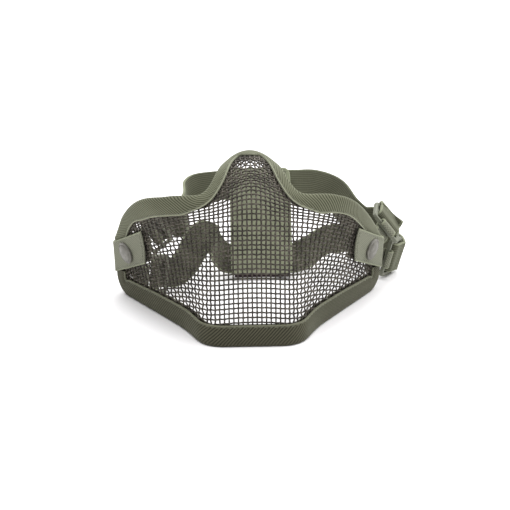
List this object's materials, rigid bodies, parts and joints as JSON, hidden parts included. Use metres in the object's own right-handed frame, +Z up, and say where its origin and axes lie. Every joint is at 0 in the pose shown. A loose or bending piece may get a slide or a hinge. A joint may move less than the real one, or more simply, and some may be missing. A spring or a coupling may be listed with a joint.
{
  "type": "face mask",
  "caption": "Formed wire-mesh lower face mask with webbing-bound rims, riveted side tabs, strap buckles and an elastic head harness with a rear pad",
  "frame": {"origin": "underside of the lower rim at the middle of the chin, where the mask stands on a surface", "axes": "+X to the right as seen from the front (the wearer's left), +Y from the chin to the back of the head, +Z up as the mask stands on its lower rim"},
  "size_m": [0.1911, 0.1507, 0.103],
  "materials": {
    "mesh": "dark brown-black coated woven steel wire, semi-matt",
    "binding": "olive herringbone nylon webbing folded over the rim",
    "tab": "pale sage nylon webbing",
    "rivet": "grey-green painted cap rivet, satin",
    "buckle": "olive moulded acetal, fine matt texture",
    "elastic": "dark olive ribbed elastic webbing",
    "pad": "sage woven nylon over foam",
    "foam": "black closed-cell foam"
  },
  "bodies": {
    "mask": {"mesh_shell": "mesh", "lower_binding": "binding", "upper_binding": "binding", "left_tab": "tab", "right_tab": "tab", "left_rivet_cap": "rivet", "right_rivet_cap": "rivet", "left_rivet_washer": "rivet", "right_rivet_washer": "rivet", "left_upper_keeper": "tab", "left_lower_keeper": "tab", "right_upper_keeper": "tab", "right_lower_keeper": "tab"},
    "harness": {"left_upper_strap": "elastic", "left_lower_strap": "elastic", "right_upper_strap": "elastic", "right_lower_strap": "elastic"},
    "left_upper_buckle_body": {"left_upper_buckle": "buckle"},
    "left_lower_buckle_body": {"left_lower_buckle": "buckle"},
    "right_upper_buckle_body": {"right_upper_buckle": "buckle"},
    "right_lower_buckle_body": {"right_lower_buckle": "buckle"},
    "pad": {"pad_front": "pad", "pad_foam": "foam", "pad_back": "pad"}
  },
  "joints": [
    {"name": "harness_swing", "type": "hinge", "parent": "mask", "child": "harness", "pos_m": [0, 0.086, 0.036], "axis": [1, 0, 0], "range_deg": [-5, 35], "deforming": ["left_upper_keeper", "left_lower_keeper", "right_upper_keeper", "right_lower_keeper"]},
    {"name": "pad_pull", "type": "slide", "parent": "harness", "child": "pad", "axis": [0, 1, 0], "range_m": [0, 0.03], "stiffness_N_per_m": 100, "deforming": ["left_upper_strap", "left_lower_strap", "right_upper_strap", "right_lower_strap"]},
    {"name": "left_upper_buckle_tilt", "type": "hinge", "parent": "harness", "child": "left_upper_buckle_body", "pos_m": [-0.062, 0.094, 0.0385], "axis": [-0.6021, 0.2007, 0.7728], "range_deg": [-4, 4]},
    {"name": "left_lower_buckle_tilt", "type": "hinge", "parent": "harness", "child": "left_lower_buckle_body", "pos_m": [-0.06, 0.081, 0.0138], "axis": [0.1004, 0.0502, 0.9937], "range_deg": [-4, 4]},
    {"name": "right_upper_buckle_tilt", "type": "hinge", "parent": "harness", "child": "right_upper_buckle_body", "pos_m": [0.09, 0.103, 0.0385], "axis": [-0.6029, -0.0846, 0.7933], "range_deg": [-4, 4]},
    {"name": "right_lower_buckle_tilt", "type": "hinge", "parent": "harness", "child": "right_lower_buckle_body", "pos_m": [0.094, 0.106, 0.0138], "axis": [0.252, 0, 0.9677], "range_deg": [-4, 4]}
  ]
}
